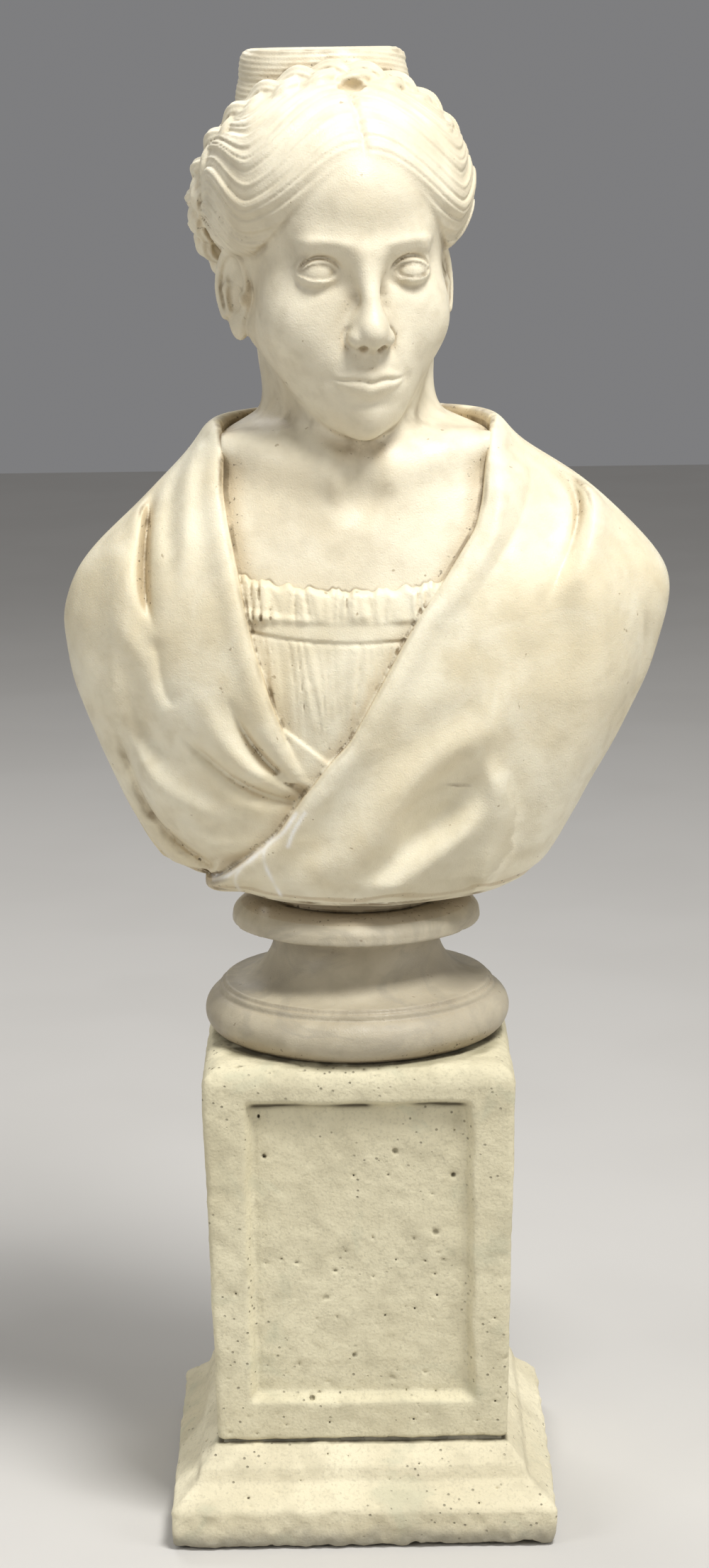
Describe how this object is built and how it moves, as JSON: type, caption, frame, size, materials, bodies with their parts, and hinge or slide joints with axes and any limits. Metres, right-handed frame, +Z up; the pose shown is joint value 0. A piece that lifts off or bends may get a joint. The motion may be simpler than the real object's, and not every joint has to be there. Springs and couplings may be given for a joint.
{
  "type": "marble bust",
  "caption": "Life-size marble bust of a woman in a shawl, set by a pin on a turned marble socle, on a panelled cast-stone pedestal.",
  "frame": {"origin": "centre of the pedestal's underside, on the floor", "axes": "+Z up, -Y the way the shoulders face, +X to the viewer's right, which is the sitter's left; the head is turned towards +X"},
  "size_m": [0.4203, 0.27, 1.0301],
  "materials": {
    "bust_marble": "honed, weathered",
    "socle_marble": "honed, weathered",
    "cast_stone": "rough, pitted",
    "mortar": "rough",
    "plaster": "rough",
    "lead": "dull",
    "iron": "lightly rusted"
  },
  "bodies": {
    "pedestal": {"pedestal_base": "cast_stone", "pedestal_mortar": "mortar", "pedestal_die": "cast_stone"},
    "socle": {"socle": "socle_marble", "dowel_lead": "lead", "collar_plaster": "plaster", "collar": "socle_marble"},
    "pin": {"dowel": "iron"},
    "bust": {"bust": "bust_marble"}
  },
  "joints": [
    {"name": "socle_lift", "type": "slide", "parent": "pedestal", "child": "socle", "axis": [0, 0, 1], "range_m": [0, 0.3]},
    {"name": "bust_swivel", "type": "hinge", "parent": "socle", "child": "pin", "pos_m": [0, 0, 0.42], "axis": [0, 0, 1], "continuous": true},
    {"name": "bust_lift", "type": "slide", "parent": "pin", "child": "bust", "axis": [0, 0, 1], "range_m": [0, 0.1]}
  ]
}
